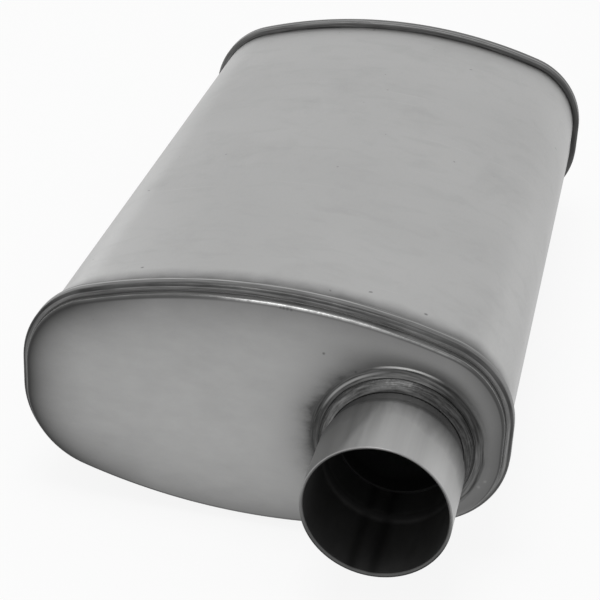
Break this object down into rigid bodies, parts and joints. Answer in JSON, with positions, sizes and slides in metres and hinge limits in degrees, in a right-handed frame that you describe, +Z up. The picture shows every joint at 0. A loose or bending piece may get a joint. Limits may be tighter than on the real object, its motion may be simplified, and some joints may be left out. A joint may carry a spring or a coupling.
{
  "type": "oval exhaust muffler",
  "caption": "Oval exhaust muffler with rolled seams, raised stamped heads and slip-on necks set to opposite sides, holding louvred tubes, baffles and fibre packing.",
  "frame": {"origin": "under the middle of the case, on the plane that the two seams rest on", "axes": "+X along the oval's long axis towards the inlet neck's side, +Y along the gas flow from the inlet end to the outlet end, +Z up"},
  "size_m": [0.2354, 0.4986, 0.1249],
  "materials": {
    "shell_steel": "satin, with fine lengthwise scratches",
    "head_steel": "dull satin",
    "neck_steel": "satin, drawn lengthwise, tinted by heat at the weld",
    "weld_steel": "dark, rippled",
    "inner_steel": "plain mill finish",
    "packing_fibre": "matted fibre"
  },
  "bodies": {
    "root": {"outer_shell": "shell_steel", "shell_seam_weld": "weld_steel", "inner_wrap": "inner_steel", "inlet_head": "head_steel", "inlet_neck": "neck_steel", "inlet_neck_weld": "weld_steel", "inlet_tube": "inner_steel", "inlet_tube_tacks": "weld_steel", "outlet_head": "head_steel", "outlet_neck": "neck_steel", "outlet_neck_weld": "weld_steel", "outlet_tube": "inner_steel", "outlet_tube_tacks": "weld_steel", "return_tube": "inner_steel", "return_tube_tacks": "weld_steel", "front_baffle": "inner_steel", "middle_baffle": "inner_steel", "rear_baffle": "inner_steel", "front_packing": "packing_fibre", "rear_packing": "packing_fibre"}
  },
  "joints": []
}
